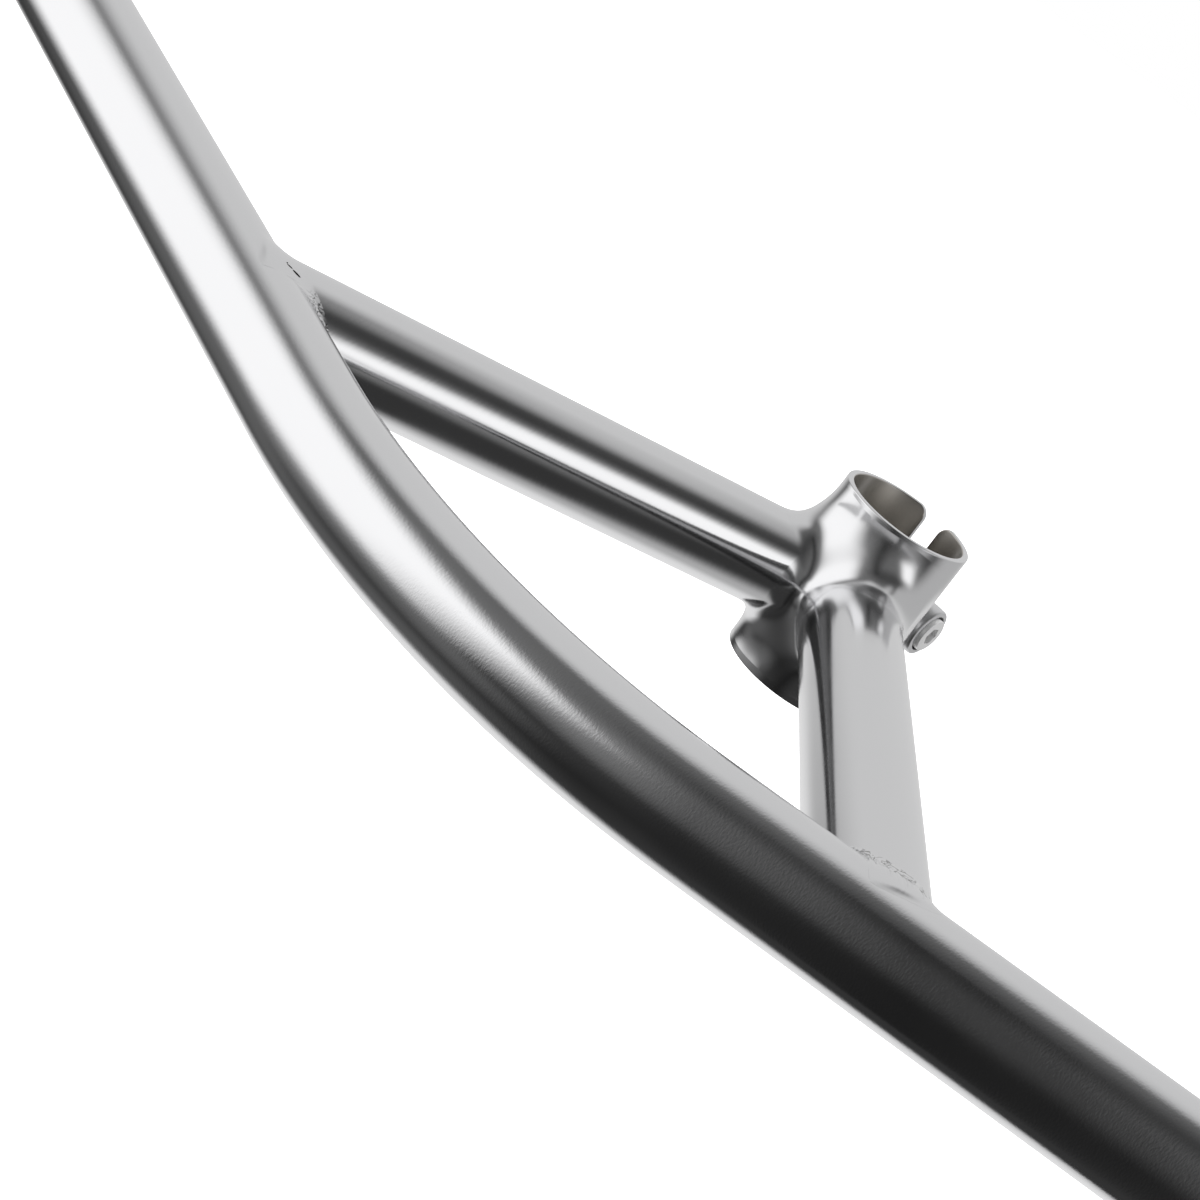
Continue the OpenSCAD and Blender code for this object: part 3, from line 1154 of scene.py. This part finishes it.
@dataclass(frozen=True)
class Studio:
    """White background, the panels that the plating mirrors, floor, lamp and camera."""

    above: float = 0.134
    below: float = 0.039
    panels: tuple[Panel, ...] = (
        Panel(0.195, 224.3, 23, (1.79, 0.58), -8.8, (0.15, 0.7), 0.68),
        Panel(0.044, 346.5, 62.5, (0.81, 0.32), 46.8, (0.45, 0.34), -0.54),
        Panel(0.491, 66.7, -12.3, (1.34, 1.67), 24.3, (0.7, 0.31), 0.62),
        Panel(0.549, 66.4, 63.1, (0.27, 0.11), 8.9, (0.25, 0.12), 0.12),
        Panel(0.664, 118.6, 16.4, (1.03, 1.21), -40.2, (0.56, 0.6), -0.73),
        Panel(0.856, 112, -47, (0.51, 0.49), 9.2, (0.19, 0.3), 0.06),
        Panel(1.166, 213.3, 9, (0.75, 0.76), 4.2, (0.41, 0.29), -0.32),
        Panel(0.463, 349.2, 11, (0.1, 0.65), 11.1, (0.57, 0.19), -0.62),
        Panel(1.154, 352.6, 17.6, (0.34, 0.2), -35.5, (0.2, 0.14), 0.56),
        Panel(0.31, 212.7, -43.3, (0.44, 0.42), 30.1, (0.26, 0.43), -0.4),
        Panel(0.009, 289.8, -3, (0.2, 3), 34.9, (0.36, 0.7), 0.8),
        Panel(0.018, 232, -52.2, (0.39, 0.58), -40, (0.7, 0.37), 0.8),
    )
    horizon: float = 0.35
    floor_z: float = -0.30
    floor_r: float = 6.0
    floor_glow: float = 0.75
    lamp_at: tuple[float, float, float] = (0.2, 0.2, 1.6)
    lamp_size: float = 2.4
    lamp_watts: float = 28.0
    lens: float = 75.97
    camera_at: tuple[float, float, float] = (0.193985, -0.49688, 0.162397)
    camera_turn: tuple[float, float, float, float] = (0.704487, 0.569133, -0.048525, 0.421226)

    def background(self) -> None:
        """Sets the world: white, with the panels for what the plating mirrors."""
        world = bpy.data.worlds.new("studio")
        bpy.context.scene.world = world
        world.use_nodes = True
        world.node_tree.nodes.clear()
        net = NodeNet(world.node_tree)
        place = net.add("TexCoord").outputs["Generated"]

        def along(direction: Vector) -> Socket:
            """Returns how far the looked-at direction runs along another."""
            return net.vector_math("DOT_PRODUCT", place, direction).outputs["Value"]

        risen = net.fade(along(Vector((0, 0, 1))), -self.horizon, self.horizon)
        level = net.mix(risen, self.below, self.above)
        for panel in self.panels:
            towards, across, up = panel.axes
            depth = net.math("MAXIMUM", along(towards), 0.02)
            high = net.math("DIVIDE", along(up), depth)
            slide = net.math("MULTIPLY", high, panel.skew)
            wide = net.math("SUBTRACT", net.math("DIVIDE", along(across), depth), slide)
            mask = net.fade(along(towards), 0.02, 0.05)
            for offset, half, soft in zip((wide, high), panel.half, panel.soft):
                inside = net.fade(net.math("ABSOLUTE", offset), half + soft, half - soft)
                mask = net.math("MULTIPLY", mask, inside)
            level = net.mix(mask, level, panel.level)
        seen = net.add("LightPath").outputs["Is Glossy Ray"]
        white = net.add("Background", {"Color": (1.0, 1.0, 1.0, 1.0)}).outputs[0]
        mirrored = net.add("Background", {"Color": level}).outputs[0]
        sky = net.add("MixShader", {0: seen, 1: white, 2: mirrored}).outputs[0]
        net.add("OutputWorld", {"Surface": sky})

    def floor(self) -> None:
        """Lays the pale floor, which keeps the part's shadow and isn't mirrored."""
        bm = bmesh.new()
        bmesh.ops.create_circle(bm, cap_ends=True, segments=96, radius=self.floor_r)
        bmesh.ops.translate(bm, vec=(0, 0, self.floor_z), verts=bm.verts)
        mesh = bpy.data.meshes.new("floor")
        bm.to_mesh(mesh)
        bm.free()
        floor = bpy.data.objects.new("floor", mesh)
        bpy.context.scene.collection.objects.link(floor)
        floor.visible_glossy = False
        paper = bpy.data.materials.new("white_paper")
        paper.use_nodes = True
        net = NodeNet(paper.node_tree)
        shader = paper.node_tree.nodes["Principled BSDF"]
        shader.inputs["Base Color"].default_value = (0.85, 0.85, 0.85, 1.0)
        shader.inputs["Roughness"].default_value = 1.0
        shader.inputs["Specular IOR Level"].default_value = 0.0
        shader.inputs["Emission Color"].default_value = (1.0, 1.0, 1.0, 1.0)
        seen = net.add("LightPath").outputs["Is Camera Ray"]
        glow = net.math("MULTIPLY", seen, self.floor_glow)
        net.wire(glow, shader.inputs["Emission Strength"])
        mesh.materials.append(paper)

    def lamp(self) -> None:
        """Hangs one wide soft lamp over the floor, which the plating doesn't mirror."""
        light = bpy.data.lights.new("overhead", "AREA")
        light.shape = "DISK"
        light.size = self.lamp_size
        light.energy = self.lamp_watts
        lamp = bpy.data.objects.new("overhead", light)
        lamp.location = self.lamp_at
        lamp.visible_glossy = False
        bpy.context.scene.collection.objects.link(lamp)

    def camera(self) -> None:
        """Sets the lens where the photographer's was."""
        lens = bpy.data.cameras.new("camera")
        lens.sensor_width = 36.0
        lens.lens = self.lens
        lens.clip_start = 0.01
        camera = bpy.data.objects.new("camera", lens)
        camera.location = self.camera_at
        camera.rotation_mode = "QUATERNION"
        camera.rotation_quaternion = self.camera_turn
        bpy.context.scene.collection.objects.link(camera)
        bpy.context.scene.camera = camera

    def build(self) -> None:
        """Sets up the whole studio."""
        self.background()
        self.floor()
        self.lamp()
        self.camera()
        bpy.context.scene.view_settings.view_transform = "Standard"


@dataclass(frozen=True)
class Handlebar:
    """The whole part."""

    bar: Bar = field(default_factory=Bar)

    def build(self) -> None:
        """Builds and dresses every piece."""
        tube_turn = math.atan2(self.bar.joint.y, self.bar.joint.x)
        bar_plate = PlatedFinish(
            "bar_plating", line_scale=(2800.0, 1500.0, 1500.0), line_depth=0.000042
        ).build()
        plates = {
            side: PlatedFinish(
                f"{side.name.lower()}_tube_plating", line_turn=-tube_turn * side.value
            ).build()
            for side in Side
        }
        collar_plate = PlatedFinish(
            "collar_plating",
            line_scale=(900.0, 900.0, 900.0),
            line_depth=0.000006,
            rough_low=0.14,
            rough_high=0.2,
            bore_r=0.0145,
        ).build()
        lug_plate = PlatedFinish(
            "lug_plating", line_scale=(900.0, 900.0, 900.0), rough_low=0.3, rough_high=0.4
        ).build()
        # Both beads carry painted shade: fine dark lines in their creases.
        left_bead = PlatedFinish(
            "left_bead_plating",
            rough_low=0.1,
            rough_high=0.18,
            crease_at=(-0.0735, -0.1178, 0.0062),
            crease_r=0.0065,
        )
        right_bead = replace(
            left_bead,
            name="right_bead_plating",
            crease_at=(0.0636, -0.0645, 0.0103),
            crease_r=0.0619,
            crease_fade=0.002,
            crease_scale=650.0,
            crease_colour=(0.36, 0.36, 0.36),
        )
        bead_plates = {Side.LEFT: left_bead.build(), Side.RIGHT: right_bead.build()}
        # Painted shade: the slit's near-black finish stands in for the shade inside it.
        slit_shade_finish = PlatedFinish(
            "pit_soot", colour=(0.03, 0.03, 0.03), rough_low=0.5, rough_high=0.6
        ).build()
        bolt_steel = PlatedFinish(
            "bolt_steel",
            colour=(0.78, 0.78, 0.78),
            rough_low=0.3,
            rough_high=0.4,
            line_scale=(1500.0, 1500.0, 1500.0),
            metal=0.72,
        ).build()
        self.bar.build(bar_plate)
        brazing = Brazing(self.bar)
        clamp = SteererClamp()
        clamp.wall(collar_plate)
        for side in Side:
            ExtensionTube(side, self.bar).build(plates[side])
            brazing.weld(side, bead_plates[side])
            clamp.lug(side, lug_plate)
        brazing.fillets(collar_plate)
        brazing.pit(slit_shade_finish)
        ClampBolt().build(bolt_steel)


def main() -> None:
    """Builds the part and the studio."""
    logging.basicConfig(level=logging.INFO, format="%(name)s %(message)s")
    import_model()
    Handlebar().build()
    Studio().build()


if __name__ == "__main__":
    main()
